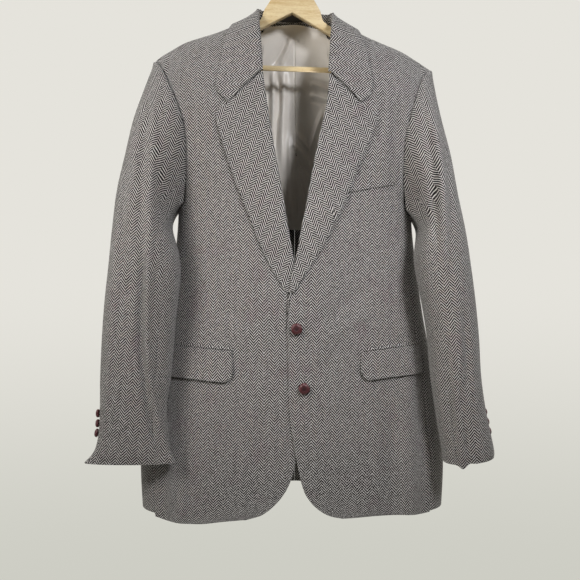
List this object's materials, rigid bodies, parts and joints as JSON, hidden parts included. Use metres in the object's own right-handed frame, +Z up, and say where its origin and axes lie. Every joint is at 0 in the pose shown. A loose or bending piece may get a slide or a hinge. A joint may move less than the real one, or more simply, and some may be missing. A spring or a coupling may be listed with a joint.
{
  "type": "tweed hacking jacket on a wooden hanger",
  "caption": "Single-breasted herringbone tweed jacket with notch lapels, flap pockets, breast welt and leather buttons, hanging buttoned on a plain wooden hanger with a wire hook.",
  "frame": {"origin": "the inside top of the hanger's hook, where a rail or wall hook carries it", "axes": "+Z up, -Y out of the jacket's front, +X towards the wearer's left"},
  "size_m": [0.6562, 0.1657, 0.9641],
  "materials": {
    "tweed": "brown and cream herringbone wool tweed, dull",
    "satin": "warm grey satin lining, soft sheen",
    "label": "plain black woven tape",
    "leather": "dark burgundy woven leather, polished",
    "wood": "pale natural wood, satin lacquer",
    "steel": "polished wire"
  },
  "bodies": {
    "root": {"back_left": "tweed", "back_right": "tweed", "breast_welt": "tweed", "collar": "tweed", "cuff_button_left_1": "leather", "cuff_button_left_2": "leather", "cuff_button_left_3": "leather", "cuff_button_right_1": "leather", "cuff_button_right_2": "leather", "cuff_button_right_3": "leather", "flap_left": "tweed", "flap_right": "tweed", "front_button_1": "leather", "front_button_2": "leather", "front_left": "tweed", "front_right": "tweed", "hanger_bar": "wood", "hanger_body": "wood", "hanger_hook": "steel", "jet_left": "tweed", "jet_right": "tweed", "lapel_left": "tweed", "lapel_right": "tweed", "lining_back": "satin", "neck_label": "label", "side_panel_left": "tweed", "side_panel_right": "tweed", "top_sleeve_left": "tweed", "top_sleeve_right": "tweed", "under_sleeve_left": "tweed", "under_sleeve_right": "tweed"}
  },
  "joints": []
}
